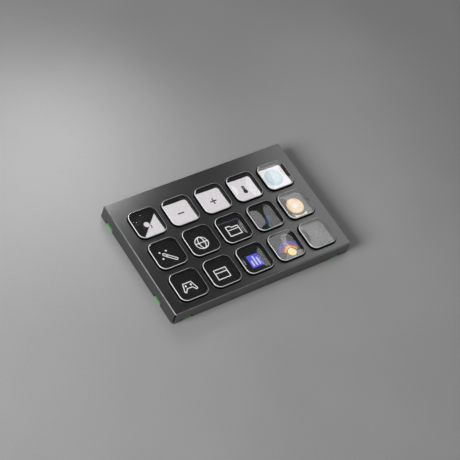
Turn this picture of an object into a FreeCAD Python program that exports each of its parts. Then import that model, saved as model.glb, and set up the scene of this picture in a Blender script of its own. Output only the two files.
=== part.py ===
"""Display keypad: fifteen clear dished keys over one colour display, in a folded metal cover.

Millimetres. The keypad lies flat: +X runs along the rows, +Y to the rear, +Z up.
The origin is on the table, under the middle of the cover.
"""
import FreeCAD, Part
import math
import os
import Sketcher

Vector = FreeCAD.Vector

doc = FreeCAD.newDocument("display_keypad")

# Driving dimensions

SIZES = {
    # key field
    "columns": 5,
    "rows": 3,
    "guide_bar": 0.6,             # guide's bar between two key pockets
    "guide_side": 3.5,            # outer pocket to the guide's side
    "guide_rear": 6.95,           # rear pocket to the guide's rear
    "guide_front": 0.95,          # front pocket to the guide's front
    # key caps
    "cap_width": 16.0,
    "cap_radius": 3.8,
    "cap_gap": 0.3,               # cap to its hole, each side
    "cap_proud": 1.6,             # cap rim above the cover's face
    "cap_round": 0.35,
    "dish_depth": 0.45,
    "dish_rim": 0.15,             # flat ring between the dish and the round edge
    "skirt_reach": 1.1,
    "skirt_thick": 0.7,
    "skirt_radius": 2.2,
    "skirt_gap": 0.2,             # skirt to its pocket, each side
    "stop_gap": 0.1,              # skirt to the cover when the key is up
    "key_travel": 0.7,
    "travel_spare": 0.1,          # skirt to the mat when the key is down
    "window_inset": 0.5,          # window over the display, in from the cap's side
    "window_radius": 3.3,
    # folded cover
    "sheet_thick": 1.0,
    "fold_round": 0.6,
    "seam_gap": 0.6,
    "seam_skin": 0.4,             # metal left over the open end of a corner seam
    "notch_length": 5.6,
    "notch_height": 2.0,
    "side_notch_rear": 8.2,       # notch centre to the rear, on both side flanges
    "side_notch_front": 14.0,     # notch centre to the front, on both side flanges
    "end_notch": 8.2,             # notch centre to the side, on the front and rear flanges
    # stack between the cover and the table
    "tape_thick": 0.2,
    "mat_thick": 0.3,
    "contact_thick": 0.2,
    "glass_thick": 1.1,
    "backlight_thick": 1.0,
    "can_thick": 0.2,             # sheet of the display's metal frame
    "film_thick": 0.1,
    "board_thick": 0.8,
    "chip_clear": 0.15,           # chips on the board's underside to the floor
    "floor_thick": 1.0,
    "foot_stand": 0.6,
    # key guide, display and board
    "shell_gap": 0.3,             # guide and tray to the cover's flanges
    "guide_radius": 1.5,
    "display_gap": 0.2,
    "display_clear": 0.2,         # display to the socket behind it
    "can_wall": 0.4,
    "ring_gap": 0.2,              # window edge to the return ring
    "ring_wall": 0.6,
    "board_gap": 0.3,
    # tray
    "tray_wall": 1.2,
    "tray_radius": 4.0,
    "rim_gap": 0.1,               # tray rim to the guide's wall
    "lug_gap": 0.5,
    "lug_head": 0.2,              # lug to the top of its notch
    "lug_recess": 0.3,            # lug behind the flange's outer face
    "hook_width": 6.0,
    "hook_thick": 0.6,
    "hook_rise": 2.0,
    "barb_reach": 0.3,
    "barb_height": 0.6,
    "hook_gap": 0.1,
    "hook_skin": 0.3,             # guide wall left behind a barb
    "hook_inset": 21.2,           # hook centre in from the tray's side
    "post_wall": 0.4,             # post round a screw head's seat
    "post_side": 18.0,            # outer posts in from the tray's sides
    "post_front": 11.25,          # front posts in from the tray's front wall
    "post_rear": 17.25,           # rear posts in from the tray's rear wall
    "foot_radius": 3.5,
    "foot_sink": 0.3,
    "foot_gap": 0.1,
    "foot_inset": 8.0,            # foot centre in from the tray's sides
    # screws
    "screw_inset": 3.9,           # outer screws in from the guide's side walls
    "wing_clear": 1.18,           # inner screws' bosses to the socket's wings
    "screw_radius": 0.8,
    "head_radius": 1.5,
    "head_height": 0.6,
    "head_gap": 0.2,
    "head_sink": 0.7,
    "thread_gap": 0.1,            # screw to its pilot hole
    "boss_wall": 1.0,
    "boss_gap": 0.35,             # boss to the rear wall and to the display
    "screw_bite": 2.2,            # thread above the board
    # socket
    "socket_width": 8.94,
    "socket_height": 3.26,
    "socket_depth": 6.5,
    "socket_wall": 0.3,
    "socket_gap": 0.25,
    "socket_lift": 0.1,           # socket above the tray's floor
    "mouth_recess": 0.5,
    "wing_reach": 1.2,
    "wing_depth": 1.6,
    "wing_thick": 0.2,
    "tongue_width": 6.6,
    "tongue_thick": 0.7,
    "tongue_recess": 1.0,
    # electronics
    "connector_depth": 3.4,
    "connector_height": 1.0,
    "connector_gap": 0.5,         # connector to the guide's rear wall
    "ribbon_room": 0.7,           # connector to the display
    "display_plug_width": 22.0,
    "display_plug_inset": 24.9,   # plug centre in from the guide's left wall
    "keypad_plug_width": 12.0,
    "keypad_plug_inset": 29.9,    # plug centre in from the guide's right wall
    "ribbon_thick": 0.15,
    "ribbon_inset": 1.0,
    "ribbon_lift": 0.4,           # ribbon above the board where it enters its connector
    "controller_width": 7.0,
    "memory_width": 5.0,
    "memory_depth": 6.0,
    "chip_height": 0.75,
    "controller_place": -16.0,
    "memory_place": -6.0,
    "small_width": 1.6,
    "small_depth": 0.8,
    "small_height": 0.5,
    "small_step": 3.0,
    "small_place": 4.0,
    "small_count": 4,
}

sizes = doc.addObject("Spreadsheet::Sheet", "sizes")
for line, (name, value) in enumerate(SIZES.items(), start=1):
    sizes.set(f"A{line}", name)
    sizes.set(f"B{line}", str(value))
    sizes.setAlias(f"B{line}", name)
doc.recompute()

# Sizes and places that follow from the driving ones

PLACES = {
    # keys
    "skirt_width": "sizes.cap_width + 2 * sizes.skirt_reach",
    "pocket_width": "skirt_width + 2 * sizes.skirt_gap",
    "key_pitch": "pocket_width + sizes.guide_bar",
    "window_width": "sizes.cap_width - 2 * sizes.window_inset",
    "dish_reach": "sizes.cap_width / 2 - sizes.cap_round - sizes.dish_rim",
    "dish_radius": "(dish_reach * dish_reach + sizes.dish_depth * sizes.dish_depth) / (2 * sizes.dish_depth)",
    # cover outline, from the outer keys' pockets outwards
    "cover_reach": "pocket_width / 2 + sizes.shell_gap + sizes.sheet_thick",
    "rear_margin": "cover_reach + sizes.guide_rear",
    "front_margin": "cover_reach + sizes.guide_front",
    "half_width": "(sizes.columns - 1) * key_pitch / 2 + cover_reach + sizes.guide_side",
    "half_depth": "((sizes.rows - 1) * key_pitch + rear_margin + front_margin) / 2",
    "field_y": "(front_margin - rear_margin) / 2",
    # heights of the stack, from the table up
    "under_z": "sizes.foot_stand",
    "floor_z": "under_z + sizes.floor_thick",
    "under_board": "sizes.chip_height + sizes.chip_clear",
    "board_z": "floor_z + under_board",
    "board_top_z": "board_z + sizes.board_thick",
    "film_z": "board_top_z",
    "can_z": "film_z + sizes.film_thick",
    "backlight_z": "can_z + sizes.can_thick",
    "glass_z": "backlight_z + sizes.backlight_thick",
    "contact_z": "glass_z + sizes.glass_thick",
    "mat_z": "contact_z + sizes.contact_thick",
    "web_z": "mat_z + sizes.mat_thick",
    "skirt_z": "web_z + sizes.key_travel + sizes.travel_spare",
    "skirt_top_z": "skirt_z + sizes.skirt_thick",
    "sheet_z": "skirt_top_z + sizes.stop_gap",
    "tape_z": "sheet_z - sizes.tape_thick",
    "face_z": "sheet_z + sizes.sheet_thick",
    "rim_z": "face_z + sizes.cap_proud",
    # cover, guide and tray outlines
    "inner_half_width": "half_width - sizes.sheet_thick",
    "inner_half_depth": "half_depth - sizes.sheet_thick",
    "shell_half_width": "inner_half_width - sizes.shell_gap",
    "shell_half_depth": "inner_half_depth - sizes.shell_gap",
    "guide_wall": "sizes.hook_thick + sizes.barb_reach + sizes.hook_gap + sizes.hook_skin",
    "guide_half_width": "shell_half_width - guide_wall",
    "guide_half_depth": "shell_half_depth - guide_wall",
    "tray_half_width": "shell_half_width - sizes.tray_wall",
    "tray_half_depth": "shell_half_depth - sizes.tray_wall",
    "board_half_width": "tray_half_width - sizes.board_gap",
    "board_half_depth": "tray_half_depth - sizes.board_gap",
    "tray_inner_radius": "sizes.tray_radius - sizes.tray_wall",
    "board_radius": "tray_inner_radius - sizes.board_gap",
    "guide_foot_z": "board_top_z",
    "tray_rim_z": "guide_foot_z - sizes.rim_gap",
    # notches and the lugs in them
    "notch_rear_y": "half_depth - sizes.side_notch_rear",
    "notch_front_y": "sizes.side_notch_front - half_depth",
    "notch_x": "half_width - sizes.end_notch",
    "lug_length": "sizes.notch_length - 2 * sizes.lug_gap",
    "lug_height": "sizes.notch_height - sizes.lug_head",
    # screws, with their bosses and posts
    "boss_radius": "sizes.screw_radius + sizes.thread_gap + sizes.boss_wall",
    "seat_radius": "sizes.head_radius + sizes.head_gap",
    "post_radius": "seat_radius + sizes.post_wall",
    "screw_y": "guide_half_depth - boss_radius - sizes.boss_gap",
    "shank_z": "under_z + sizes.head_sink",
    # socket
    "mouth_y": "half_depth - sizes.mouth_recess",
    "socket_y": "mouth_y - sizes.socket_depth",
    "socket_z": "floor_z + sizes.socket_lift",
    "socket_mid_z": "socket_z + sizes.socket_height / 2",
    "port_half_width": "sizes.socket_width / 2 + sizes.socket_gap",
    "inner_screw": "port_half_width + sizes.wing_reach + sizes.wing_clear + boss_radius",
    "outer_screw": "guide_half_width - sizes.screw_inset",
    "port_z": "socket_z - sizes.socket_gap",
    "port_height": "sizes.socket_height + 2 * sizes.socket_gap",
    # hooks and posts
    "hook_place": "shell_half_width - sizes.hook_inset",
    "post_spread": "tray_half_width - sizes.post_side",
    "post_front_y": "sizes.post_front - tray_half_depth",
    "post_rear_y": "tray_half_depth - sizes.post_rear",
    # connectors
    "display_plug_x": "sizes.display_plug_inset - guide_half_width",
    "keypad_plug_x": "guide_half_width - sizes.keypad_plug_inset",
    "plug_rear": "guide_half_depth - sizes.connector_gap",
    "plug_front": "plug_rear - sizes.connector_depth",
    "ribbon_z": "board_top_z + sizes.ribbon_lift",
    # display outline, between the guide's walls and in front of the bosses, socket and connectors
    "boss_front": "screw_y - boss_radius - sizes.boss_gap",
    "display_rear": "min(boss_front; socket_y - sizes.display_clear; plug_front - sizes.ribbon_room)",
    "display_front": "-guide_half_depth + sizes.display_gap",
    "display_depth": "display_rear - display_front",
    "display_half_width": "guide_half_width - sizes.display_gap",
    "ribbon_fall_y": "(display_rear + plug_front) / 2",
}

places = doc.addObject("Spreadsheet::Sheet", "places")
for line, (name, formula) in enumerate(PLACES.items(), start=1):
    places.set(f"A{line}", name)
    places.set(f"B{line}", "=" + formula)
    places.setAlias(f"B{line}", name)
    doc.recompute()

SIDES = (-1, 1)


# Helpers

def place(name):
    """The present value of a derived size."""
    return float(places.get(name))


def new_body(name):
    """A separate piece, whose label is its file's name."""
    body = doc.addObject("PartDesign::Body", name)
    body.Label = name
    return body


def origin_plane(body, role):
    return next(feature for feature in body.Origin.OriginFeatures if feature.Role == role)


def seat(feature, body, x, y, z):
    """Attach a feature to its body's XY plane, moved by three expressions."""
    feature.AttachmentSupport = [(origin_plane(body, "XY_Plane"), "")]
    feature.MapMode = "FlatFace"
    feature.setExpression(".AttachmentOffset.Base.x", x)
    feature.setExpression(".AttachmentOffset.Base.y", y)
    feature.setExpression(".AttachmentOffset.Base.z", z)


def box(body, name, centre_x, front_y, z, length, width, height, cut=False):
    """A block centred on centre_x, from front_y to the rear and from z up."""
    kind = "PartDesign::SubtractiveBox" if cut else "PartDesign::AdditiveBox"
    feature = body.newObject(kind, name)
    seat(feature, body, f"{centre_x} - ({length}) / 2", front_y, z)
    feature.setExpression("Length", length)
    feature.setExpression("Width", width)
    feature.setExpression("Height", height)
    return feature


def rounded_outline(body, name, x, y, z, width, depth, radius):
    """A sketch of a rectangle with four round corners, centred on x and y."""
    sketch = body.newObject("Sketcher::SketchObject", name)
    seat(sketch, body, x, y, z)
    half_x = float(sketch.evalExpression(width)) / 2
    half_y = float(sketch.evalExpression(depth)) / 2
    arc = float(sketch.evalExpression(radius))
    flat_x = half_x - arc
    flat_y = half_y - arc

    def line(x1, y1, x2, y2):
        return sketch.addGeometry(Part.LineSegment(Vector(x1, y1, 0), Vector(x2, y2, 0)))

    def corner(centre_x, centre_y, start):
        circle = Part.Circle(Vector(centre_x, centre_y, 0), Vector(0, 0, 1), arc)
        return sketch.addGeometry(Part.ArcOfCircle(circle, start, start + math.pi / 2))

    quarter = math.pi / 2
    front = line(-flat_x, -half_y, flat_x, -half_y)
    front_right = corner(flat_x, -flat_y, -quarter)
    right = line(half_x, -flat_y, half_x, flat_y)
    rear_right = corner(flat_x, flat_y, 0)
    rear = line(flat_x, half_y, -flat_x, half_y)
    rear_left = corner(-flat_x, flat_y, quarter)
    left = line(-half_x, flat_y, -half_x, -flat_y)
    front_left = corner(-flat_x, -flat_y, 2 * quarter)
    edges = [front, front_right, right, rear_right, rear, rear_left, left, front_left]

    start, end = 1, 2
    origin = -1
    rules = [("Horizontal", front), ("Horizontal", rear), ("Vertical", left), ("Vertical", right)]
    for edge, following in zip(edges, edges[1:] + edges[:1]):
        rules.append(("Tangent", edge, end, following, start))
    for arc_edge in (rear_right, rear_left, front_left):
        rules.append(("Equal", front_right, arc_edge))
    rules.append(("Symmetric", front, start, rear, start, origin, start))
    for rule in rules:
        sketch.addConstraint(Sketcher.Constraint(*rule))
    measures = {
        "radius": ("Radius", front_right, arc),
        "width": ("DistanceX", left, start, right, start, 2 * half_x),
        "depth": ("DistanceY", front, start, rear, start, 2 * half_y),
    }
    for label, measure in measures.items():
        index = sketch.addConstraint(Sketcher.Constraint(*measure))
        sketch.renameConstraint(index, label)
    sketch.setExpression("Constraints.radius", radius)
    sketch.setExpression("Constraints.width", width)
    sketch.setExpression("Constraints.depth", depth)
    return sketch


def rounded(body, name, x, y, z, width, depth, radius, height, cut=False):
    """A plate with round corners that stands on z, or the same shape cut out."""
    sketch = rounded_outline(body, name + "_outline", x, y, z, width, depth, radius)
    feature = body.newObject("PartDesign::Pocket" if cut else "PartDesign::Pad", name)
    feature.Profile = sketch
    feature.Reversed = cut
    feature.setExpression("Length", height)
    return feature


def discs(body, name, centres, z, radius, height, cut=False):
    """Equal round studs that stand on z, or equal holes, one at each pair of x and y."""
    sketch = body.newObject("Sketcher::SketchObject", name + "_outline")
    seat(sketch, body, "0", "0", z)
    size = float(sketch.evalExpression(radius))
    origin, start, middle = -1, 1, 3
    for number, centre in enumerate(centres):
        x, y = (float(sketch.evalExpression(expression)) for expression in centre)
        circle = sketch.addGeometry(Part.Circle(Vector(x, y, 0), Vector(0, 0, 1), size))
        rules = {
            f"x{number}": (("DistanceX", origin, start, circle, middle, x), centre[0]),
            f"y{number}": (("DistanceY", origin, start, circle, middle, y), centre[1]),
            f"radius{number}": (("Radius", circle, size), radius),
        }
        for label, (rule, expression) in rules.items():
            index = sketch.addConstraint(Sketcher.Constraint(*rule))
            sketch.renameConstraint(index, label)
            sketch.setExpression(f"Constraints.{label}", expression)
    feature = body.newObject("PartDesign::Pocket" if cut else "PartDesign::Pad", name)
    feature.Profile = sketch
    feature.Reversed = cut
    feature.setExpression("Length", height)
    return feature


def over_keys(body, feature, name):
    """Repeat one feature, made at the front left key, over the whole key field."""
    doc.recompute()
    sketch = feature.Profile[0]
    grid = body.newObject("PartDesign::MultiTransform", name)
    grid.Originals = [feature]
    columns = body.newObject("PartDesign::LinearPattern", name + "_columns")
    columns.Direction = (sketch, ["H_Axis"])
    columns.setExpression("Length", "places.key_pitch * (sizes.columns - 1)")
    columns.setExpression("Occurrences", "sizes.columns")
    rows = body.newObject("PartDesign::LinearPattern", name + "_rows")
    rows.Direction = (sketch, ["V_Axis"])
    rows.setExpression("Length", "places.key_pitch * (sizes.rows - 1)")
    rows.setExpression("Occurrences", "sizes.rows")
    grid.Transformations = [columns, rows]
    body.Tip = grid
    doc.recompute()
    return grid


def key_x(column):
    return f"(places.key_pitch * ({column} - (sizes.columns + 1) / 2))"


def key_y(row):
    return f"(places.field_y - places.key_pitch * ({row} - (sizes.rows + 1) / 2))"


FIRST_X = key_x(1)
FIRST_Y = key_y("sizes.rows")
NOTCH_LINES = (("front", "places.notch_front_y"), ("rear", "places.notch_rear_y"))


def key_windows(body, name, z, width, radius, height, cut=True):
    """A rounded window, or a rounded block, at every key."""
    feature = rounded(body, name, FIRST_X, FIRST_Y, z, width, width, radius, height, cut)
    return over_keys(body, feature, name + "_grid")


def edges_at(shape, z):
    """Names of the edges that lie wholly at one height."""
    level = 0.001
    names = []
    for number, edge in enumerate(shape.Edges, start=1):
        bounds = edge.BoundBox
        if abs(bounds.ZMin - z) < level and abs(bounds.ZMax - z) < level:
            names.append(f"Edge{number}")
    return names


# Cover

def make_cover():
    """Folded sheet: face, four flanges, key holes, open corner seams, notches and socket port."""
    body = new_body("cover")
    height = "places.face_z - places.under_z"
    box(body, "cover_blank", "0", "-places.half_depth", "places.under_z",
        "2 * places.half_width", "2 * places.half_depth", height)
    doc.recompute()
    fold = body.newObject("PartDesign::Fillet", "cover_folds")
    fold.Base = (body.getObject("cover_blank"), edges_at(body.Shape, place("face_z")))
    fold.setExpression("Radius", "sizes.fold_round")
    box(body, "cover_hollow", "0", "-places.inner_half_depth", "places.under_z",
        "2 * places.inner_half_width", "2 * places.inner_half_depth",
        "places.sheet_z - places.under_z", cut=True)
    cut_notches(body)
    for side in SIDES:
        for end in SIDES:
            cut_seam(body, side, end)
    rounded_port(body, "cover_port", "places.inner_half_depth", "sizes.sheet_thick")
    key_windows(body, "cover_hole", "places.sheet_z",
                "sizes.cap_width + 2 * sizes.cap_gap", "sizes.cap_radius + sizes.cap_gap",
                "sizes.sheet_thick")
    return body


def cut_seam(body, side, end):
    """Open mitred seam down one corner, along the diagonal."""
    name = f"seam_{corner_name(side, end)}"
    reach = "(2 * sizes.sheet_thick * sqrt(2))"
    seam = body.newObject("PartDesign::SubtractiveBox", name)
    turn = math.degrees(math.atan2(-end, -side))
    seam.AttachmentOffset = FreeCAD.Placement(Vector(), FreeCAD.Rotation(Vector(0, 0, 1), turn))
    half_gap = "sizes.seam_gap / 2"
    seat(seam, body,
         f"{side} * places.half_width + ({side} * {reach} - {end} * {half_gap}) * sqrt(0.5)",
         f"{end} * places.half_depth + ({end} * {reach} + {side} * {half_gap}) * sqrt(0.5)",
         "places.under_z")
    seam.setExpression("Length", f"2 * {reach}")
    seam.setExpression("Width", "sizes.seam_gap")
    seam.setExpression("Height", "places.face_z - sizes.seam_skin - places.under_z")


def cut_notches(body):
    """Eight notches at the flanges' lower edge, cut in pairs by bars right across."""
    height = "sizes.notch_height"
    length = "sizes.notch_length"
    for end, notch_y in NOTCH_LINES:
        box(body, f"notch_{end}", "0", f"{notch_y} - {length} / 2", "places.under_z",
            "2 * places.half_width", length, height, cut=True)
    for side in SIDES:
        box(body, f"notch_{side_name(side)}", f"{side} * places.notch_x", "-places.half_depth",
            "places.under_z", length, "2 * places.half_depth", height, cut=True)


def side_name(side):
    return "right" if side > 0 else "left"


def corner_name(side, end):
    return ("rear_" if end > 0 else "front_") + side_name(side)


def rounded_port(body, name, front_y, depth):
    """The socket's mouth through a rear wall: a slot with round ends."""
    radius = "places.port_height / 2"
    straight = f"2 * places.port_half_width - 2 * {radius}"
    box(body, name, "0", front_y, "places.port_z", straight, depth, "places.port_height", cut=True)
    for side in SIDES:
        end = body.newObject("PartDesign::SubtractiveCylinder", f"{name}_end_{side + 1}")
        upright_to_rear = FreeCAD.Rotation(Vector(1, 0, 0), -90)
        end.AttachmentOffset = FreeCAD.Placement(Vector(), upright_to_rear)
        seat(end, body, f"{side} * ({straight}) / 2", front_y, "places.socket_mid_z")
        end.setExpression("Radius", radius)
        end.setExpression("Height", depth)


def make_adhesive_frame():
    body = new_body("adhesive_frame")
    rounded(body, "tape_sheet", "0", "0", "places.tape_z", "2 * places.shell_half_width",
            "2 * places.shell_half_depth", "sizes.guide_radius", "sizes.tape_thick")
    key_windows(body, "tape_window", "places.tape_z", "places.pocket_width",
                "sizes.skirt_radius + sizes.skirt_gap", "sizes.tape_thick")
    return body


# Keys

def make_keycap(row, column):
    """Clear cap: retaining skirt below, and a dished top with a round edge."""
    body = new_body(f"keycap_r{row}c{column}")
    tag = f"_r{row}c{column}"
    x = key_x(column)
    y = key_y(row)
    rounded(body, "skirt" + tag, x, y, "places.skirt_z", "places.skirt_width",
            "places.skirt_width", "sizes.skirt_radius", "sizes.skirt_thick")
    top = rounded(body, "cap" + tag, x, y, "places.skirt_top_z", "sizes.cap_width",
                  "sizes.cap_width", "sizes.cap_radius", "places.rim_z - places.skirt_top_z")
    doc.recompute()
    rim = body.newObject("PartDesign::Fillet", "cap_rim" + tag)
    rim.Base = (top, edges_at(body.Shape, place("rim_z")))
    rim.setExpression("Radius", "sizes.cap_round")
    dish = body.newObject("PartDesign::SubtractiveSphere", "dish" + tag)
    seat(dish, body, x, y, "places.rim_z - sizes.dish_depth + places.dish_radius")
    dish.setExpression("Radius", "places.dish_radius")
    return body


def make_key_guide():
    """Black frame: a pocket round each skirt, walls down to the tray, screw bosses and hook pockets."""
    body = new_body("key_guide")
    rounded(body, "guide_blank", "0", "0", "places.guide_foot_z", "2 * places.shell_half_width",
            "2 * places.shell_half_depth", "sizes.guide_radius", "places.tape_z - places.guide_foot_z")
    box(body, "guide_hollow", "0", "-places.guide_half_depth", "places.guide_foot_z",
        "2 * places.guide_half_width", "2 * places.guide_half_depth",
        "places.web_z - places.guide_foot_z", cut=True)
    discs(body, "bosses", screw_places(), "places.guide_foot_z", "places.boss_radius",
          "places.web_z - places.guide_foot_z")
    discs(body, "pilots", screw_places(), "places.guide_foot_z",
          "sizes.screw_radius + sizes.thread_gap", "sizes.screw_bite", cut=True)
    box(body, "guide_port", "0", "places.guide_half_depth", "places.guide_foot_z",
        "2 * places.port_half_width", "places.guide_wall",
        "places.port_z + places.port_height - places.guide_foot_z", cut=True)
    for side in SIDES:
        cut_hook_pocket(body, side)
    key_windows(body, "guide_pocket", "places.web_z", "places.pocket_width",
                "sizes.skirt_radius + sizes.skirt_gap", "places.tape_z - places.web_z")
    return body


def screw_places():
    """Expressions of the four screws' places along the rear edge."""
    return [(f"{side} * places.{name}", "places.screw_y")
            for name in ("outer_screw", "inner_screw") for side in SIDES]


def cut_hook_pocket(body, side):
    """Room for one tray hook in the outside of the guide's front wall."""
    place_x = f"{side} * places.hook_place"
    tag = side_name(side)
    width = "sizes.hook_width + 2 * sizes.hook_gap"
    rise = "sizes.rim_gap + sizes.hook_rise"
    box(body, f"hook_pocket_{tag}", place_x, "-places.shell_half_depth", "places.tray_rim_z",
        width, "sizes.hook_thick + sizes.hook_gap", rise, cut=True)
    box(body, f"barb_pocket_{tag}", place_x, "-places.shell_half_depth",
        "places.tray_rim_z + sizes.hook_rise - sizes.barb_height - sizes.hook_gap", width,
        "sizes.hook_thick + sizes.barb_reach + sizes.hook_gap",
        "sizes.barb_height + 2 * sizes.hook_gap", cut=True)


def make_return_mat():
    """One silicone sheet with a window and a standing return ring at each key."""
    body = new_body("return_mat")
    box(body, "mat_sheet", "0", "places.display_front", "places.mat_z",
        "2 * places.display_half_width", "places.display_depth", "sizes.mat_thick")
    ring_inner = "places.window_width + 2 * sizes.ring_gap"
    ring_radius = "sizes.window_radius + sizes.ring_gap"
    key_windows(body, "mat_ring", "places.web_z", f"{ring_inner} + 2 * sizes.ring_wall",
                f"{ring_radius} + sizes.ring_wall", "places.skirt_z - places.web_z", cut=False)
    key_windows(body, "mat_bore", "places.web_z", ring_inner, ring_radius,
                "places.skirt_z - places.web_z")
    key_windows(body, "mat_window", "places.mat_z", "places.window_width",
                "sizes.window_radius", "sizes.mat_thick")
    return body


def make_contact_board():
    body = new_body("contact_board")
    box(body, "contact_sheet", "0", "places.display_front", "places.contact_z",
        "2 * places.display_half_width", "places.display_depth", "sizes.contact_thick")
    key_windows(body, "contact_window", "places.contact_z", "places.window_width",
                "sizes.window_radius", "sizes.contact_thick")
    return body


# Display

def plain_plate(name, z, half_width, front, depth, height):
    body = new_body(name)
    box(body, name + "_plate", "0", front, z, f"2 * ({half_width})", depth, height)
    return body


def make_display():
    """Metal can with the backlight and the glass lying in it, on an insulating film."""
    plain_plate("insulating_film", "places.film_z", "places.display_half_width",
                "places.display_front", "places.display_depth", "sizes.film_thick")
    can = plain_plate("display_frame", "places.can_z", "places.display_half_width",
                      "places.display_front", "places.display_depth",
                      "places.contact_z - places.can_z")
    inner_half_width = "places.display_half_width - sizes.can_wall"
    inner_front = "places.display_front + sizes.can_wall"
    inner_depth = "places.display_depth - 2 * sizes.can_wall"
    box(can, "can_hollow", "0", inner_front, "places.backlight_z", f"2 * ({inner_half_width})",
        inner_depth, "places.contact_z - places.backlight_z", cut=True)
    plain_plate("backlight", "places.backlight_z", inner_half_width, inner_front, inner_depth,
                "sizes.backlight_thick")
    plain_plate("display_glass", "places.glass_z", inner_half_width, inner_front, inner_depth,
                "sizes.glass_thick")


def make_ribbon(name, place_x, width, start_z):
    """Flat ribbon: back from the display, down, and on into its connector."""
    body = new_body(name)
    clear_width = f"{width} - 2 * sizes.ribbon_inset"
    box(body, name + "_start", place_x, "places.display_rear", start_z, clear_width,
        "places.ribbon_fall_y + sizes.ribbon_thick - places.display_rear", "sizes.ribbon_thick")
    box(body, name + "_fall", place_x, "places.ribbon_fall_y", "places.ribbon_z", clear_width,
        "sizes.ribbon_thick", f"{start_z} + sizes.ribbon_thick - places.ribbon_z")
    box(body, name + "_end", place_x, "places.ribbon_fall_y", "places.ribbon_z", clear_width,
        "places.plug_front - places.ribbon_fall_y", "sizes.ribbon_thick")
    return body


# Electronics

def make_main_board():
    """Board over the whole tray, with screw holes and a cut-out round the socket."""
    body = new_body("main_board")
    rounded(body, "board_sheet", "0", "0", "places.board_z", "2 * places.board_half_width",
            "2 * places.board_half_depth", "places.board_radius", "sizes.board_thick")
    discs(body, "board_holes", screw_places(), "places.board_z",
          "sizes.screw_radius + sizes.head_gap", "sizes.board_thick", cut=True)
    box(body, "board_cutout", "0", "places.socket_y - sizes.socket_gap", "places.board_z",
        "2 * places.port_half_width",
        "places.board_half_depth - places.socket_y + sizes.socket_gap", "sizes.board_thick", cut=True)
    return body


def make_chips():
    """Chips on the board's underside."""
    chip_z = "places.board_z - sizes.chip_height"
    controller = new_body("controller_chip")
    box(controller, "controller_block", "sizes.controller_place",
        "places.field_y - sizes.controller_width / 2", chip_z, "sizes.controller_width",
        "sizes.controller_width", "sizes.chip_height")
    memory = new_body("memory_chip")
    box(memory, "memory_block", "sizes.memory_place", "places.field_y - sizes.memory_depth / 2",
        chip_z, "sizes.memory_width", "sizes.memory_depth", "sizes.chip_height")
    make_small_components()


def make_small_components():
    """A row of small parts beside the chips, as separate solids in one node."""
    names = []
    for number in range(int(sizes.get("small_count"))):
        part = doc.addObject("Part::Box", f"small_part_{number}")
        part.setExpression("Length", "sizes.small_depth")
        part.setExpression("Width", "sizes.small_width")
        part.setExpression("Height", "sizes.small_height")
        part.setExpression(".Placement.Base.x", f"sizes.small_place + {number} * sizes.small_step")
        part.setExpression(".Placement.Base.y", "places.field_y - sizes.small_width / 2")
        part.setExpression(".Placement.Base.z", "places.board_z - sizes.small_height")
        names.append(part)
    return group("small_components", names)


def group(name, parts):
    """Separate solids that share one node."""
    compound = doc.addObject("Part::Compound", name)
    compound.Label = name
    compound.Links = parts
    return compound


def make_connector(name, place_x, width):
    body = new_body(name)
    box(body, name + "_block", place_x, "places.plug_front", "places.board_top_z", width,
        "sizes.connector_depth", "sizes.connector_height")
    return body


def make_socket():
    """Flat oval socket shell, open to the rear, with a wing on each side that lies on the board."""
    shell = new_body("usb_socket")
    for cut in (False, True):
        wall = "sizes.socket_wall" if cut else "0"
        depth = f"sizes.socket_depth - ({wall})"
        front = f"places.socket_y + ({wall})"
        name = "socket_mouth" if cut else "socket_shell"
        height = f"(sizes.socket_height - 2 * ({wall}))"
        straight = "(sizes.socket_width - sizes.socket_height)"
        box(shell, name, "0", front, f"places.socket_z + ({wall})", straight, depth, height, cut)
        for side in SIDES:
            kind = "PartDesign::SubtractiveCylinder" if cut else "PartDesign::AdditiveCylinder"
            end = shell.newObject(kind, f"{name}_end_{side + 1}")
            upright_to_rear = FreeCAD.Rotation(Vector(1, 0, 0), -90)
            end.AttachmentOffset = FreeCAD.Placement(Vector(), upright_to_rear)
            seat(end, shell, f"{side} * {straight} / 2", front, "places.socket_mid_z")
            end.setExpression("Radius", f"{height} / 2")
            end.setExpression("Height", depth)
    for side in SIDES:
        tag = side_name(side)
        reach = "(sizes.wing_reach + sizes.socket_gap + sizes.socket_wall)"
        box(shell, f"wing_{tag}",
            f"{side} * (sizes.socket_width / 2 - sizes.socket_wall + {reach} / 2)",
            "places.socket_y", "places.board_top_z", reach, "sizes.wing_depth", "sizes.wing_thick")

    tongue = new_body("usb_tongue")
    box(tongue, "tongue_blade", "0", "places.socket_y + sizes.socket_wall",
        "places.socket_mid_z - sizes.tongue_thick / 2", "sizes.tongue_width",
        "sizes.socket_depth - sizes.socket_wall - sizes.tongue_recess", "sizes.tongue_thick")


# Tray, screws and feet

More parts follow.
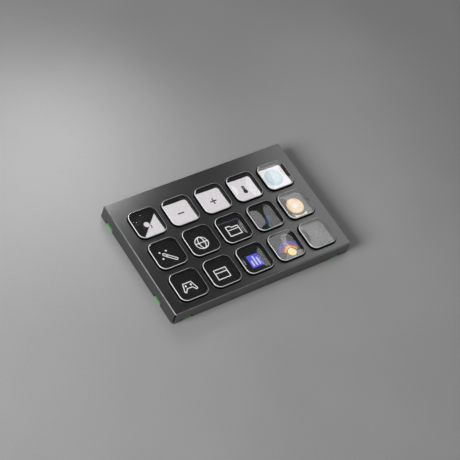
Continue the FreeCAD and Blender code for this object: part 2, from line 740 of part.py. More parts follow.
def make_base_tray():
    """Tray with a lug in each notch, posts under the board, screw seats, hooks and foot seats."""
    body = new_body("base_tray")
    rim_height = "places.tray_rim_z - places.under_z"
    rounded(body, "tray_blank", "0", "0", "places.under_z", "2 * places.shell_half_width",
            "2 * places.shell_half_depth", "sizes.tray_radius", rim_height)
    add_lugs(body)
    rounded(body, "tray_hollow", "0", "0", "places.floor_z", "2 * places.tray_half_width",
            "2 * places.tray_half_depth", "places.tray_inner_radius",
            "places.tray_rim_z - places.floor_z", cut=True)
    for side in SIDES:
        add_hook(body, side)
    box(body, "tray_port", "0", "places.tray_half_depth", "places.floor_z",
        "2 * places.port_half_width", "sizes.tray_wall", "places.tray_rim_z - places.floor_z", cut=True)
    support_places = [(f"{column} * places.post_spread", post_y)
                      for column in (-1, 0, 1) for post_y in ("places.post_front_y", "places.post_rear_y")]
    discs(body, "posts", screw_places() + support_places, "places.floor_z",
          "places.post_radius", "places.under_board")
    discs(body, "screw_holes", screw_places(), "places.under_z",
          "sizes.screw_radius + sizes.head_gap", "places.board_z - places.under_z", cut=True)
    discs(body, "head_seats", screw_places(), "places.under_z",
          "places.seat_radius", "sizes.head_sink", cut=True)
    discs(body, "foot_seats", foot_places(), "places.under_z",
          "sizes.foot_radius + sizes.foot_gap", "sizes.foot_sink", cut=True)
    return body


def add_lugs(body):
    """Lugs in the cover's notches: bars right across, hollowed later with the tray."""
    half_width = "places.half_width - sizes.lug_recess"
    half_depth = "places.half_depth - sizes.lug_recess"
    length = "places.lug_length"
    for end, notch_y in NOTCH_LINES:
        box(body, f"lug_{end}", "0", f"{notch_y} - {length} / 2", "places.under_z",
            f"2 * ({half_width})", length, "places.lug_height")
    for side in SIDES:
        box(body, f"lug_{side_name(side)}", f"{side} * places.notch_x", f"-({half_depth})",
            "places.under_z", length, f"2 * ({half_depth})", "places.lug_height")


def add_hook(body, side):
    """A snap hook that stands on the front rim, with its barb towards the rear."""
    tag = side_name(side)
    place_x = f"{side} * places.hook_place"
    foot = "sizes.barb_height"
    box(body, f"hook_{tag}", place_x, "-places.shell_half_depth", f"places.tray_rim_z - {foot}",
        "sizes.hook_width", "sizes.hook_thick", f"sizes.hook_rise + {foot}")
    box(body, f"barb_{tag}", place_x, "-places.shell_half_depth",
        "places.tray_rim_z + sizes.hook_rise - sizes.barb_height", "sizes.hook_width",
        "sizes.hook_thick + sizes.barb_reach", "sizes.barb_height")


def foot_places():
    return [(f"{side} * (places.tray_half_width - sizes.foot_inset)",
             f"{end} * (places.tray_half_depth - sizes.foot_inset)")
            for side in SIDES for end in SIDES]


def cylinder(name, x, y, z, radius, height):
    part = doc.addObject("Part::Cylinder", name)
    part.setExpression("Radius", radius)
    part.setExpression("Height", height)
    part.setExpression(".Placement.Base.x", x)
    part.setExpression(".Placement.Base.y", y)
    part.setExpression(".Placement.Base.z", z)
    return part


def make_feet():
    feet = []
    for number, (foot_x, foot_y) in enumerate(foot_places()):
        feet.append(cylinder(f"foot_{number}", foot_x, foot_y, "0", "sizes.foot_radius",
                             "sizes.foot_stand + sizes.foot_sink"))
    return group("feet", feet)


def make_screws():
    """Four pan-head screws, up through the tray and the board into the guide's bosses."""
    screws = []
    for number, (screw_x, screw_y) in enumerate(screw_places()):
        shank = cylinder(f"shank_{number}", screw_x, screw_y, "places.shank_z", "sizes.screw_radius",
                         "places.board_top_z + sizes.screw_bite - places.shank_z")
        head = cylinder(f"head_{number}", screw_x, screw_y, "places.shank_z - sizes.head_height",
                        "sizes.head_radius", "sizes.head_height")
        screw = doc.addObject("Part::Fuse", f"screw_{number}")
        screw.Base = head
        screw.Tool = shank
        screws.append(screw)
    return group("screws", screws)


# Build and export

def build():
    make_cover()
    make_adhesive_frame()
    for row in range(1, int(sizes.get("rows")) + 1):
        for column in range(1, int(sizes.get("columns")) + 1):
            make_keycap(row, column)
    make_key_guide()
    make_return_mat()
    make_contact_board()
    make_display()
    make_ribbon("display_flex", "places.display_plug_x", "sizes.display_plug_width", "places.glass_z")
    make_ribbon("keypad_flex", "places.keypad_plug_x", "sizes.keypad_plug_width", "places.contact_z")
    make_main_board()
    make_chips()
    make_connector("display_connector", "places.display_plug_x", "sizes.display_plug_width")
    make_connector("keypad_connector", "places.keypad_plug_x", "sizes.keypad_plug_width")
    make_socket()
    make_base_tray()
    make_screws()
    make_feet()
    doc.recompute()


def export():
    for item in doc.Objects:
        if "Invalid" in item.State or "Error" in item.State:
            raise RuntimeError(f"{item.Name} failed: {item.State}")
    nodes = [item for item in doc.Objects
             if item.TypeId in ("PartDesign::Body", "Part::Compound")]
    for node in nodes:
        if node.Shape.isNull() or not node.Shape.isValid():
            raise RuntimeError(f"{node.Label} has no valid shape")
    os.makedirs("parts", exist_ok=True)
    for node in nodes:
        node.Shape.exportStep(f"parts/{node.Label}.step")
        print(node.Label, len(node.Shape.Solids), round(node.Shape.Volume, 2))


build()
export()
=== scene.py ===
import math

import bmesh
import bpy
from mathutils import Matrix, Vector


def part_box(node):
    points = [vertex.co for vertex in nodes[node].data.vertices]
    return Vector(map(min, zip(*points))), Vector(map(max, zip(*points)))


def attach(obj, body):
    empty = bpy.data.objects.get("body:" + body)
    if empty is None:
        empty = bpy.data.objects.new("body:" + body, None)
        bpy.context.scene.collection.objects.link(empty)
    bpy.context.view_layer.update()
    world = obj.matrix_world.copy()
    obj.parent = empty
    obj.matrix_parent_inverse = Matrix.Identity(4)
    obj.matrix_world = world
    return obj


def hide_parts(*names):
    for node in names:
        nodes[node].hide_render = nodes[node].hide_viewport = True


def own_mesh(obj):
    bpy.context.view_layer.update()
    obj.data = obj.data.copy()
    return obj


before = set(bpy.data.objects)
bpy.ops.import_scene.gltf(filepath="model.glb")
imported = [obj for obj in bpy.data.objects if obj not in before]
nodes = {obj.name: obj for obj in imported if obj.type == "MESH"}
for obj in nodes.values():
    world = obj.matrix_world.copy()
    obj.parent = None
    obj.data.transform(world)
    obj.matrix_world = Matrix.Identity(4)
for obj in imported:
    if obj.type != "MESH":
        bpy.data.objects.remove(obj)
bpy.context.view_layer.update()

MM = 0.001
scene = bpy.context.scene


# Places taken from the solids, in millimetres

def node_low(name):
    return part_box(name)[0] / MM


def node_high(name):
    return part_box(name)[1] / MM


FACE_Z = node_high("cover").z
GLASS_Z = node_high("display_glass").z
COLUMNS = 5
ROWS = 3


def cap_name(row, column):
    return f"keycap_r{row}c{column}"


def cap_middle(row, column):
    low, high = node_low(cap_name(row, column)), node_high(cap_name(row, column))
    return (low + high) / 2


def each_key():
    """Row, column and middle of every key."""
    for row in range(1, ROWS + 1):
        for column in range(1, COLUMNS + 1):
            yield row, column, cap_middle(row, column)


# Cap shape in millimetres: the solids' outline, with a softer edge and a cushion-shaped dish

CAP_HALF = 8.0
CAP_RADIUS = 3.8
CAP_ROUND = 0.55
GROUND_FROM, GROUND_TO = 20, 60    # degrees round the edge that its ground part covers
DISH_HALF = 7.3
DISH_DEPTH = 0.3
SKIRT_THICK = 0.7
SKIRT_RADIUS = 2.2
SKIRT_BEVEL = 0.1
SHARP_FROM = 35               # degrees between two faces that meet in a sharp edge
HOLE_GAP = 0.3                # cap to its hole, each side
RING_POINTS = 96              # points in each rounded ring
DISH_RINGS = 24
ROUND_STEP = 10               # degrees from ring to ring round the edge


# Mesh helpers

def add_object(name, mesh, body="case", middle=(0, 0)):
    """A piece that rides on a body, with its origin at middle in plan."""
    item = bpy.data.objects.new(name, mesh)
    item.location = (middle[0] * MM, middle[1] * MM, 0)
    scene.collection.objects.link(item)
    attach(item, body)
    return item


def finish_mesh(build, name, materials, smooth):
    """The mesh of a finished bmesh, with its normals outward and its materials in order."""
    bmesh.ops.recalc_face_normals(build, faces=build.faces)
    mesh = bpy.data.meshes.new(name)
    build.to_mesh(mesh)
    build.free()
    for face in mesh.polygons:
        face.use_smooth = smooth
    for material in materials:
        mesh.materials.append(material)
    return mesh


def rounded_ring(half, radius):
    """Points round a square with round corners, evenly turned about its middle."""
    flat = half - min(radius, half)
    radius = half - flat
    points = []
    for step in range(RING_POINTS):
        angle = 2 * math.pi * (step + 0.5) / RING_POINTS
        across, along = abs(math.cos(angle)), abs(math.sin(angle))
        longer = max(across, along)
        shorter = min(across, along)
        if half * shorter <= flat * longer:
            reach = half / longer
        else:
            reach = flat * (across + along) + math.sqrt(radius ** 2 - flat ** 2 * (across - along) ** 2)
        points.append((reach * math.cos(angle), reach * math.sin(angle)))
    return points


def join_rings(mesh, outer, inner, material=0):
    """A band of faces between two rings of as many points."""
    count = len(outer)
    for index in range(count):
        following = (index + 1) % count
        face = mesh.faces.new((outer[index], outer[following], inner[following], inner[index]))
        face.material_index = material


def cap_mesh(clear, rim, black_side_look):
    """One clear key: cushion-dished top, ground round rim, sides and skirt painted black (a paint finish
    that also stands in for the shade on the sides), flat underside.
    """
    rim_z = node_high(cap_name(1, 1)).z
    bottom_z = node_low(cap_name(1, 1)).z
    skirt_half = (node_high(cap_name(1, 1)).x - node_low(cap_name(1, 1)).x) / 2
    skirt_top = bottom_z + SKIRT_THICK
    build = bmesh.new()

    def ring(half, radius, height):
        verts = []
        for x, y in rounded_ring(half, radius):
            z = height(x, y) if callable(height) else height
            verts.append(build.verts.new((x * MM, y * MM, z * MM)))
        return verts

    def dish(x, y):
        across = max(0.0, 1 - (x / DISH_HALF) ** 2)
        along = max(0.0, 1 - (y / DISH_HALF) ** 2)
        return rim_z - DISH_DEPTH * across * along

    looks = {"clear": 0, "rim": 1, "black_side_look": 2}
    rings = []
    dish_radius = CAP_RADIUS - CAP_HALF + DISH_HALF
    for step in range(1, DISH_RINGS + 1):
        share = step / DISH_RINGS
        rings.append((ring(DISH_HALF * share, dish_radius * share, dish), "clear"))
    for degrees in range(0, 90 + ROUND_STEP, ROUND_STEP):
        angle = math.radians(degrees)
        out = CAP_HALF - CAP_ROUND + CAP_ROUND * math.sin(angle)
        drop = CAP_ROUND * (1 - math.cos(angle))
        # Lower down the edge the key takes the black look: a paint finish that also stands in for the
        # shade on its sides
        look = "clear" if degrees <= GROUND_FROM else "rim" if degrees <= GROUND_TO else "black_side_look"
        rings.append((ring(out, CAP_RADIUS - CAP_HALF + out, rim_z - drop), look))
    rings.append((ring(CAP_HALF, CAP_RADIUS, skirt_top), "black_side_look"))
    rings.append((ring(skirt_half - SKIRT_BEVEL, SKIRT_RADIUS, skirt_top), "black_side_look"))
    rings.append((ring(skirt_half, SKIRT_RADIUS, skirt_top - SKIRT_BEVEL), "black_side_look"))
    rings.append((ring(skirt_half, SKIRT_RADIUS, bottom_z), "black_side_look"))
    rings.append((ring(CAP_HALF, CAP_RADIUS, bottom_z), "black_side_look"))

    top = build.verts.new((0, 0, dish(0, 0) * MM))
    first = rings[0][0]
    for index in range(len(first)):
        build.faces.new((top, first[index], first[(index + 1) % len(first)]))
    for (inner, _), (outer, look) in zip(rings, rings[1:]):
        join_rings(build, outer, inner, looks[look])
    build.faces.new(list(reversed(rings[-1][0])))
    mesh = finish_mesh(build, "key_look", (clear, rim, black_side_look), smooth=True)
    mesh.set_sharp_from_angle(angle=math.radians(SHARP_FROM))
    return mesh


def hole_edge_mesh(shade_ring_look, burr):
    """Round each key hole: a near-black ring of painted shade where the sheet's cut edge meets the key,
    and the low burr beside it.
    """
    # Millimetres out from the hole's edge and up from the face
    profile = ((0.0, -0.03), (0.02, 0.015), (0.2, 0.02), (0.24, 0.04), (0.32, 0.035), (0.38, -0.01))
    # The first two bands take the painted shade ring, the rest the burr
    looks = (0, 0, 1, 1, 1)
    build = bmesh.new()
    for _, _, middle in each_key():
        rings = []
        for out, rise in profile:
            ring = []
            for x, y in rounded_ring(CAP_HALF + HOLE_GAP + out, CAP_RADIUS + HOLE_GAP + out):
                place = Vector((middle.x + x, middle.y + y, FACE_Z + rise))
                ring.append(build.verts.new(place * MM))
            rings.append(ring)
        for inner, outer, look in zip(rings, rings[1:], looks):
            join_rings(build, outer, inner, look)
        join_rings(build, rings[0], rings[-1])
    return finish_mesh(build, "hole_edges", (shade_ring_look, burr), smooth=True)


# Return mat in millimetres: one sheet with a window at each key, and a standing ring under each key

MAT_LOW, MAT_HIGH = node_low("return_mat"), node_high("return_mat")
MAT_THICK = 0.3
RING_FOOT_Z = MAT_LOW.z + MAT_THICK
MAT_WINDOW_HALF, MAT_WINDOW_RADIUS = 7.5, 3.3
RING_HALF, RING_RADIUS = 7.7, 3.5    # the ring's inner side
RING_WALL = 0.6
RING_BEVEL = 0.1


def mat_sheet_mesh(material):
    """The mat's flat sheet: outline and windows, filled and given its thickness."""
    low, high = MAT_LOW, MAT_HIGH
    loops = [[(low.x, low.y), (high.x, low.y), (high.x, high.y), (low.x, high.y)]]
    for _, _, middle in each_key():
        window = rounded_ring(MAT_WINDOW_HALF, MAT_WINDOW_RADIUS)
        loops.append([(middle.x + x, middle.y + y) for x, y in window])
    build = bmesh.new()
    edges = []
    for loop in loops:
        verts = [build.verts.new((x * MM, y * MM, low.z * MM)) for x, y in loop]
        for first, second in zip(verts, verts[1:] + verts[:1]):
            edges.append(build.edges.new((first, second)))
    bmesh.ops.triangle_fill(build, use_beauty=True, edges=edges)
    grown = bmesh.ops.extrude_face_region(build, geom=build.faces[:])
    lifted = [item for item in grown["geom"] if isinstance(item, bmesh.types.BMVert)]
    bmesh.ops.translate(build, verts=lifted, vec=(0, 0, MAT_THICK * MM))
    return finish_mesh(build, "mat_sheet", [material], smooth=False)


def return_ring_mesh(material):
    """One standing ring of the mat, about the key's middle."""
    top_z = MAT_HIGH.z
    shoulder_z = top_z - RING_BEVEL
    inner_side = [(0, RING_FOOT_Z), (0, shoulder_z), (RING_BEVEL, top_z)]
    outer_side = [(RING_WALL - out, z) for out, z in reversed(inner_side)]
    profile = inner_side + outer_side
    build = bmesh.new()
    rings = []
    for out, z in profile:
        points = rounded_ring(RING_HALF + out, RING_RADIUS + out)
        rings.append([build.verts.new((x * MM, y * MM, z * MM)) for x, y in points])
    for inner, outer in zip(rings, rings[1:] + rings[:1]):
        join_rings(build, outer, inner)
    return finish_mesh(build, "return_ring", [material], smooth=False)


# Material helpers

def new_material(name):
    material = bpy.data.materials.new(name)
    material.use_nodes = True
    tree = material.node_tree
    shader = tree.nodes["Principled BSDF"]
    return material, tree, shader


def add_node(tree, kind, **inputs):
    node = tree.nodes.new(kind)
    for name, value in inputs.items():
        node.inputs[name.replace("_", " ")].default_value = value
    return node


def place_source(tree):
    """Places on the surface in metres, which move with the piece."""
    return tree.nodes.new("ShaderNodeTexCoord").outputs["Object"]


def noise(tree, size_mm, detail=3.0):
    """Noise whose grains are about size_mm across."""
    texture = add_node(tree, "ShaderNodeTexNoise", Scale=1 / (size_mm * MM), Detail=detail)
    tree.links.new(place_source(tree), texture.inputs["Vector"])
    return texture.outputs["Fac"]


def ramp(tree, source, stops):
    """Colour ramp over source: a list of (place, colour)."""
    node = tree.nodes.new("ShaderNodeValToRGB")
    elements = node.color_ramp.elements
    while len(elements) < len(stops):
        elements.new(0.5)
    for element, (place, colour) in zip(elements, stops):
        element.position = place
        if isinstance(colour, (int, float)):
            colour = (colour, colour, colour)
        element.color = (*colour, 1)
    tree.links.new(source, node.inputs["Fac"])
    return node.outputs["Color"]


def bump(tree, source, depth_mm, normal=None):
    """Relief of that depth where source is light, added to normal."""
    node = add_node(tree, "ShaderNodeBump", Strength=1.0, Distance=depth_mm * MM)
    tree.links.new(source, node.inputs["Height"])
    if normal is not None:
        tree.links.new(normal, node.inputs["Normal"])
    return node.outputs["Normal"]


def mix_colour(tree, factor, first, second, blend="MIX"):
    """Mix of two colours, each a tuple or a socket; the factor is a number or a socket."""
    node = tree.nodes.new("ShaderNodeMix")
    node.data_type = "RGBA"
    node.blend_type = blend
    colour_sockets = [socket for socket in node.inputs if socket.type == "RGBA"]
    for socket, value in zip([node.inputs["Factor"], *colour_sockets], (factor, first, second)):
        if isinstance(value, tuple):
            socket.default_value = (*value, 1)
        elif isinstance(value, float):
            socket.default_value = value
        else:
            tree.links.new(value, socket)
    return next(socket for socket in node.outputs if socket.type == "RGBA")


def grey(level):
    return (level, level, level)


def speckled(name, dark, light, grain_mm, rough, metallic=0.0, depth_mm=0.01, smear_mm=14.0, specular=0.5):
    """Moulded or blasted surface: fine grain, slow colour drift and uneven gloss."""
    material, tree, shader = new_material(name)
    grain = noise(tree, grain_mm)
    drift = noise(tree, smear_mm, detail=2.0)
    base = ramp(tree, grain, [(0.3, dark), (0.7, light)])
    drift_colour = ramp(tree, drift, [(0.3, tuple(0.82 * c for c in dark)), (0.75, light)])
    tree.links.new(mix_colour(tree, 0.35, base, drift_colour), shader.inputs["Base Color"])
    gloss = ramp(tree, drift, [(0.25, rough - 0.05), (0.8, rough + 0.07)])
    tree.links.new(gloss, shader.inputs["Roughness"])
    tree.links.new(bump(tree, grain, depth_mm), shader.inputs["Normal"])
    shader.inputs["Metallic"].default_value = metallic
    shader.inputs["Specular IOR Level"].default_value = specular
    return material


def dress(name, material):
    """Give a CAD node its finished material."""
    item = nodes[name]
    item.data.materials.clear()
    item.data.materials.append(material)


# Cover, in millimetres

EDGE_WIDTH = 0.3
WEAR_AND_HIGHLIGHT_FULL, WEAR_AND_HIGHLIGHT_GONE = 0.5, 1.0    # wear and the painted edge highlight fade between these depths below the face


def cover_material():
    """Blasted dark metal. Folds and cut edges near the face are lightened, partly as edge wear and partly
    as a painted highlight that is brightest on rear-facing folds; lower cut edges and open seams are
    darkened as painted shade.
    """
    material, tree, shader = new_material("cover_metal_look")
    grain = noise(tree, 0.16)
    drift = noise(tree, 22.0, detail=2.0)
    base = ramp(tree, grain, [(0.3, (0.115, 0.115, 0.116)), (0.7, (0.170, 0.170, 0.173))])
    edge_normal = tree.nodes.new("ShaderNodeBevel")
    edge_normal.samples = 8
    edge_normal.inputs["Radius"].default_value = EDGE_WIDTH * MM
    geometry = tree.nodes.new("ShaderNodeNewGeometry")
    facing = tree.nodes.new("ShaderNodeVectorMath")
    facing.operation = "DOT_PRODUCT"
    tree.links.new(edge_normal.outputs["Normal"], facing.inputs[0])
    tree.links.new(geometry.outputs["Normal"], facing.inputs[1])
    cut_edge = ramp(tree, facing.outputs["Value"], [(0.80, 1.0), (0.97, 0.0)])
    tilt = tree.nodes.new("ShaderNodeSeparateXYZ")
    tree.links.new(geometry.outputs["Normal"], tilt.inputs["Vector"])
    fold = ramp(tree, tilt.outputs["Z"], [(0.15, 0.0), (0.35, 1.0), (0.85, 1.0), (0.98, 0.0)])
    edges = mix_colour(tree, 1.0, cut_edge, fold, blend="LIGHTEN")
    patchy = ramp(tree, noise(tree, 3.0), [(0.35, 0.55), (0.65, 1.0)])
    height = tree.nodes.new("ShaderNodeSeparateXYZ")
    tree.links.new(place_source(tree), height.inputs["Vector"])
    below = tree.nodes.new("ShaderNodeMapRange")
    below.inputs["From Min"].default_value = (FACE_Z - WEAR_AND_HIGHLIGHT_GONE) * MM
    below.inputs["From Max"].default_value = (FACE_Z - WEAR_AND_HIGHLIGHT_FULL) * MM
    tree.links.new(height.outputs["Z"], below.inputs["Value"])
    near_face = below.outputs["Result"]
    # Edge wear near the face, which also serves as a painted highlight along the folds and hole edges
    edge_wear_and_highlight = mix_colour(tree, 1.0, edges, near_face, blend="MULTIPLY")
    patchy_wear_and_highlight = mix_colour(tree, 1.0, edge_wear_and_highlight, patchy, blend="MULTIPLY")
    # Painted highlight: folds that face the rear get a much lighter colour, for the light that falls on
    # them there
    rear = ramp(tree, tilt.outputs["Y"], [(0.2, 0.0), (0.5, 1.0)])
    wear_and_highlight_colour = mix_colour(tree, rear, (0.50, 0.505, 0.51), (0.93, 0.935, 0.94))
    metal_with_wear_and_highlights = mix_colour(tree, patchy_wear_and_highlight, base, wear_and_highlight_colour)
    # Painted shade: cut edges lower down the flanges, in the open seams and notches, are darkened almost
    # to black
    seam_shade_mask = mix_colour(tree, near_face, cut_edge, grey(0.0))
    metal_with_seam_shade = mix_colour(tree, seam_shade_mask, metal_with_wear_and_highlights, grey(0.006))
    tree.links.new(metal_with_seam_shade, shader.inputs["Base Color"])
    gloss = ramp(tree, drift, [(0.25, 0.28), (0.8, 0.33)])
    tree.links.new(gloss, shader.inputs["Roughness"])
    normal = bump(tree, grain, 0.006, normal=edge_normal.outputs["Normal"])
    tree.links.new(normal, shader.inputs["Normal"])
    shader.inputs["Metallic"].default_value = 0.95
    return material


def clear_material():
    """Polished clear key with a hard, shiny coating and faint handling marks."""
    material, tree, shader = new_material("clear_key_look")
    shader.inputs["Transmission Weight"].default_value = 1.0
    shader.inputs["IOR"].default_value = 1.85
    smear = noise(tree, 5.0, detail=4.0)
    tint = ramp(tree, smear, [(0.3, (0.95, 0.955, 0.96)), (0.7, (0.98, 0.983, 0.986))])
    tree.links.new(tint, shader.inputs["Base Color"])
    gloss = ramp(tree, smear, [(0.35, 0.01), (0.75, 0.035)])
    tree.links.new(gloss, shader.inputs["Roughness"])
    return material


def rim_material():
    """The cap's edge, fine-ground so that it catches light."""
    material, tree, shader = new_material("ground_rim_look")
    grain = noise(tree, 0.3)
    tint = ramp(tree, grain, [(0.3, (0.62, 0.63, 0.64)), (0.7, (0.78, 0.785, 0.79))])
    tree.links.new(tint, shader.inputs["Base Color"])
    gloss = ramp(tree, noise(tree, 2.5), [(0.3, 0.30), (0.75, 0.40)])
    tree.links.new(gloss, shader.inputs["Roughness"])
    tree.links.new(bump(tree, grain, 0.003), shader.inputs["Normal"])
    shader.inputs["Coat Weight"].default_value = 0.6
    shader.inputs["Coat Roughness"].default_value = 0.12
    return material


def glass_material():
    """Black display glass with a faint grid of unlit pixels."""
    material, tree, shader = new_material("display_glass_look")
    pixels = tree.nodes.new("ShaderNodeTexChecker")
    pixels.inputs["Scale"].default_value = 1 / (0.2 * MM)
    pixels.inputs["Color1"].default_value = (0.004, 0.0042, 0.005, 1)
    pixels.inputs["Color2"].default_value = (0.008, 0.0084, 0.0095, 1)
    tree.links.new(place_source(tree), pixels.inputs["Vector"])
    tree.links.new(pixels.outputs["Color"], shader.inputs["Base Color"])
    gloss = ramp(tree, noise(tree, 6.0), [(0.3, 0.30), (0.8, 0.38)])
    tree.links.new(gloss, shader.inputs["Roughness"])
    shader.inputs["Specular IOR Level"].default_value = 0.15
    return material


def lit_material(name, colour, strength):
    """Lit pixels of one colour, with a slightly uneven glow."""
    material, tree, shader = new_material(name)
    spread = noise(tree, 1.6, detail=2.0)
    deep = tuple(0.95 * c for c in colour)
    shade = ramp(tree, spread, [(0.3, deep), (0.7, colour)])
    tree.links.new(shade, shader.inputs["Emission Color"])
    shader.inputs["Emission Strength"].default_value = strength
    body = [tuple(share * c for c in colour) for share in (0.05, 0.06)]
    tree.links.new(ramp(tree, spread, [(0.3, body[0]), (0.7, body[1])]), shader.inputs["Base Color"])
    shader.inputs["Roughness"].default_value = 0.4
    shader.inputs["Specular IOR Level"].default_value = 0.15
    return material


COLOURS = {
    "white": ((0.95, 0.91, 0.94), 0.88),
    "icon": ((0.95, 0.94, 0.93), 1.0),
    "ink": ((0.035, 0.035, 0.04), 0.3),
    "ink_light": ((0.30, 0.30, 0.31), 0.6),
    "sky": ((0.50, 0.70, 0.78), 0.85),
    "sky_edge": ((0.70, 0.80, 0.86), 0.86),
    "sky_light": ((0.64, 0.78, 0.84), 0.86),
    "teal": ((0.03, 0.20, 0.20), 0.35),
    "deep_blue": ((0.03, 0.06, 0.20), 0.45),
    "orange": ((0.93, 0.52, 0.26), 0.85),
    "peach": ((0.96, 0.68, 0.36), 0.85),
    "sun": ((0.96, 0.76, 0.40), 0.85),
    "cream": ((0.92, 0.84, 0.86), 0.85),
    "violet": ((0.11, 0.12, 0.95), 0.95),
    "lilac": ((0.80, 0.76, 0.90), 0.90),
    "blue": ((0.03, 0.06, 0.70), 0.70),
    "red": ((0.55, 0.07, 0.05), 0.55),
    "amber": ((0.93, 0.42, 0.10), 0.75),
    "yellow": ((0.98, 0.78, 0.26), 0.85),
    "rose": ((0.55, 0.20, 0.17), 0.20),
    "green": ((0.02, 0.30, 0.04), 0.70),
    "haze": ((0.30, 0.28, 0.42), 0.55),
}
LIT = {name: lit_material(f"lit_{name}", *values) for name, values in COLOURS.items()}


# Pictures: flat shapes of lit pixels on the glass, in millimetres from the tile's middle

TILE = 7.13                   # half a lit tile
TILE_RADIUS = 1.6
TILE_SHIFT = Vector((0.3, -0.65, 0))       # tiles sit a little off the keys
LINE = 0.5                    # usual width of a drawn line
END_STEPS = 6                 # straight pieces in a line's round end


class Picture:
    """Shapes in layers, centred on one key's tile."""

    layer_step = 0.008

    def __init__(self, name):
        self.name = name
        self.build = bmesh.new()
        self.colours = []
        self.layer = 1

    def _slot(self, colour):
        if colour not in self.colours:
            self.colours.append(colour)
        return self.colours.index(colour)

    def fill(self, points, colour):
        """A flat shape from its outline, facing up."""
        z = GLASS_Z + self.layer * self.layer_step
        verts = [self.build.verts.new((x * MM, y * MM, z * MM)) for x, y in points]
        face = self.build.faces.new(verts)
        face.normal_update()
        if face.normal.z < 0:
            face.normal_flip()
        face.material_index = self._slot(colour)
        self.layer += 1

    def tile(self, colour):
        self.fill(rounded_ring(TILE, TILE_RADIUS), colour)

    def disc(self, x, y, radius, colour, count=40):
        points = []
        for step in range(count):
            angle = 2 * math.pi * step / count
            points.append((x + radius * math.cos(angle), y + radius * math.sin(angle)))
        self.fill(points, colour)

    def stroke(self, points, colour, width=LINE, closed=False):
        """A line of one width with round ends and joints."""
        pairs = list(zip(points, points[1:]))
        if closed:
            pairs.append((points[-1], points[0]))
        for (x1, y1), (x2, y2) in pairs:
            along = math.atan2(y2 - y1, x2 - x1)
            outline = []
            for x, y, start in ((x2, y2, -90), (x1, y1, 90)):
                for step in range(END_STEPS + 1):
                    angle = along + math.radians(start + 180 * step / END_STEPS)
                    outline.append((x + width / 2 * math.cos(angle), y + width / 2 * math.sin(angle)))
            self.fill(outline, colour)

    def arc(self, x, y, radius_x, radius_y, start, end, colour, width=LINE, steps=16):
        points = []
        for step in range(steps + 1):
            angle = math.radians(start + (end - start) * step / steps)
            points.append((x + radius_x * math.cos(angle), y + radius_y * math.sin(angle)))
        self.stroke(points, colour, width)

    def finish(self, key_middle):
        """Put the picture on the glass under its key."""
        mesh = bpy.data.meshes.new(self.name)
        middle = key_middle + TILE_SHIFT
        bmesh.ops.translate(self.build, verts=self.build.verts, vec=(middle.x * MM, middle.y * MM, 0))
        self.build.to_mesh(mesh)
        self.build.free()
        for colour in self.colours:
            mesh.materials.append(LIT[colour])
        add_object(self.name, mesh)


def draw_split(p):
    """Half dark, half white, with a disc across the edge."""
    slope = 0.95
    crossing = -3.3
    level = -4.4
    start = crossing - (TILE + level) / slope
    end = level + slope * (TILE - crossing)
    p.fill([(start, -TILE), (TILE, -TILE), (TILE, end)], "white")
    p.disc(0.1, 1.0, 1.55, "white")
    p.arc(1.0, -0.8, 1.0, 1.0, -60, 60, "ink", 0.5)


def draw_minus(p):
    p.tile("white")
    p.stroke([(-1.2, 0.3), (2.0, 0.3)], "ink", 0.7)


def draw_plus(p):
    draw_minus(p)
    p.stroke([(0.4, -1.3), (0.4, 1.9)], "ink", 0.7)


def draw_thermometer(p):
    p.tile("white")
    p.stroke([(0.1, -0.9), (0.1, 2.1)], "ink", 1.6)
    p.disc(0.1, -0.95, 1.25, "ink")
    p.stroke([(0.1, 0.9), (0.1, 2.0)], "ink_light", 0.75)


def draw_disc(p):
    """Pale blue disc whose edge fades into white."""
    p.tile("white")
    p.disc(-0.5, 0.8, 5.3, "sky_edge")
    p.disc(-0.5, 0.8, 5.0, "sky")
    p.disc(0.0, 1.3, 4.0, "sky_light")
    p.disc(0.3, 1.6, 2.4, "sky_edge")


def draw_wand(p):
    tip, tail = Vector((-1.2, 1.9)), Vector((3.6, -2.6))
    p.stroke([tip, tail], "icon", 1.7)
    p.stroke([tip, tail], "ink", 0.75)
    across = (tail - tip).orthogonal().normalized() * 0.6
    neck = tip.lerp(tail, 0.24)
    p.stroke([neck - across, neck + across], "icon", 0.5)
    for x, y in ((-2.8, 3.5), (0.95, 3.6), (-2.8, -0.3)):
        p.disc(x, y, 0.5, "icon")


def draw_globe(p):
    x, y, radius = 0.5, 0.4, 3.5
    p.arc(x, y, radius, radius, 0, 360, "icon", steps=36)
    p.arc(x, y, 0.45 * radius, radius, 0, 360, "icon", 0.5, steps=28)
    p.stroke([(x - radius, y), (x + radius, y)], "icon", 0.5)


def draw_folder(p):
    left, right, low, high = -2.9, 3.9, -2.3, 3.5
    tab = 0.9
    p.stroke([(left, low), (left, high), (left + 2.4, high), (left + 3.2, high - tab),
              (right, high - tab), (right, low)], "icon", 0.55, closed=True)
    p.stroke([(left, high - 2.3), (right, high - 2.3)], "icon", 0.45)
    p.stroke([(-5.6, 6.2), (6.0, 6.2), (6.0, -3.0)], "haze", 0.25)


def draw_bokeh(p):
    p.disc(1.8, 0.3, 1.5, "deep_blue")
    p.disc(1.8, 0.3, 0.8, "teal")
    p.disc(-0.4, -1.7, 1.7, "deep_blue")
    p.disc(-0.2, -4.4, 0.9, "teal")


def draw_sun(p):
    x, y = 0.05, 0.9
    for radius, colour in ((4.8, "orange"), (4.3, "peach"), (3.4, "sun"), (2.6, "peach"), (1.8, "cream")):
        p.disc(x, y, radius, colour)
    p.arc(x, y, 6.6, 6.6, 240, 300, "sun", 0.8, steps=12)


